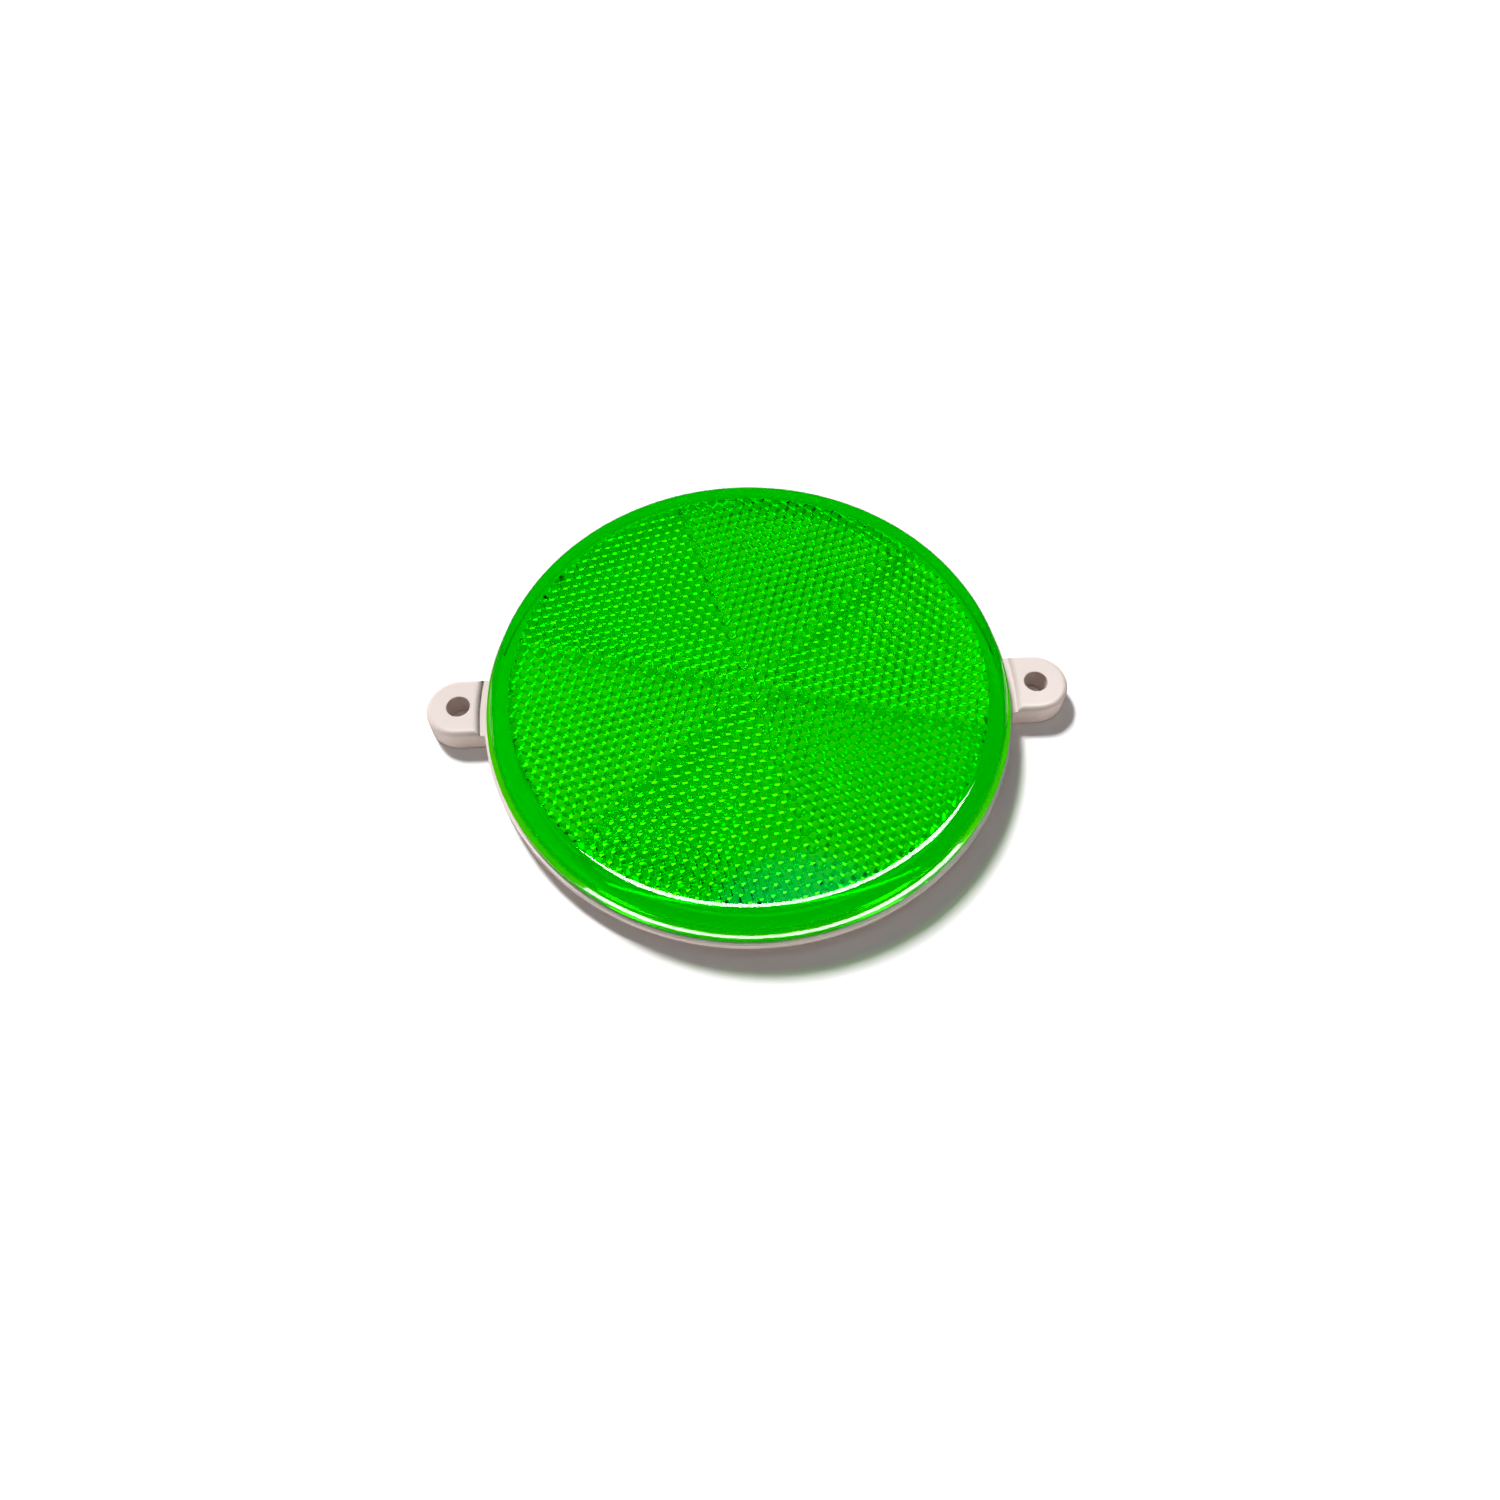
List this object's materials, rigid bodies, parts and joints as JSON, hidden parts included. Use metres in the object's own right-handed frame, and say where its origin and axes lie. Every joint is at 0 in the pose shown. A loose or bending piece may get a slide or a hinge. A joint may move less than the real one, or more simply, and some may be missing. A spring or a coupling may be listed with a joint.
{
  "type": "round screw-on road reflector",
  "caption": "Round corner-cube retroreflector for roads: a transparent green lens welded to a white plastic housing with two opposite screw ears.",
  "frame": {"origin": "centre of the flat back, midway between the two screw holes", "axes": "+X from the centre towards one screw ear, +Y across the ears, +Z out of the back, the way the lens faces"},
  "size_m": [0.1234, 0.1012, 0.0105],
  "materials": {
    "housing_abs": "moulded ABS, fine satin grain, warm off-white",
    "lens_acrylic": "moulded acrylic, polished, transparent green"
  },
  "bodies": {
    "root": {"housing": "housing_abs", "lens": "lens_acrylic"}
  },
  "joints": []
}
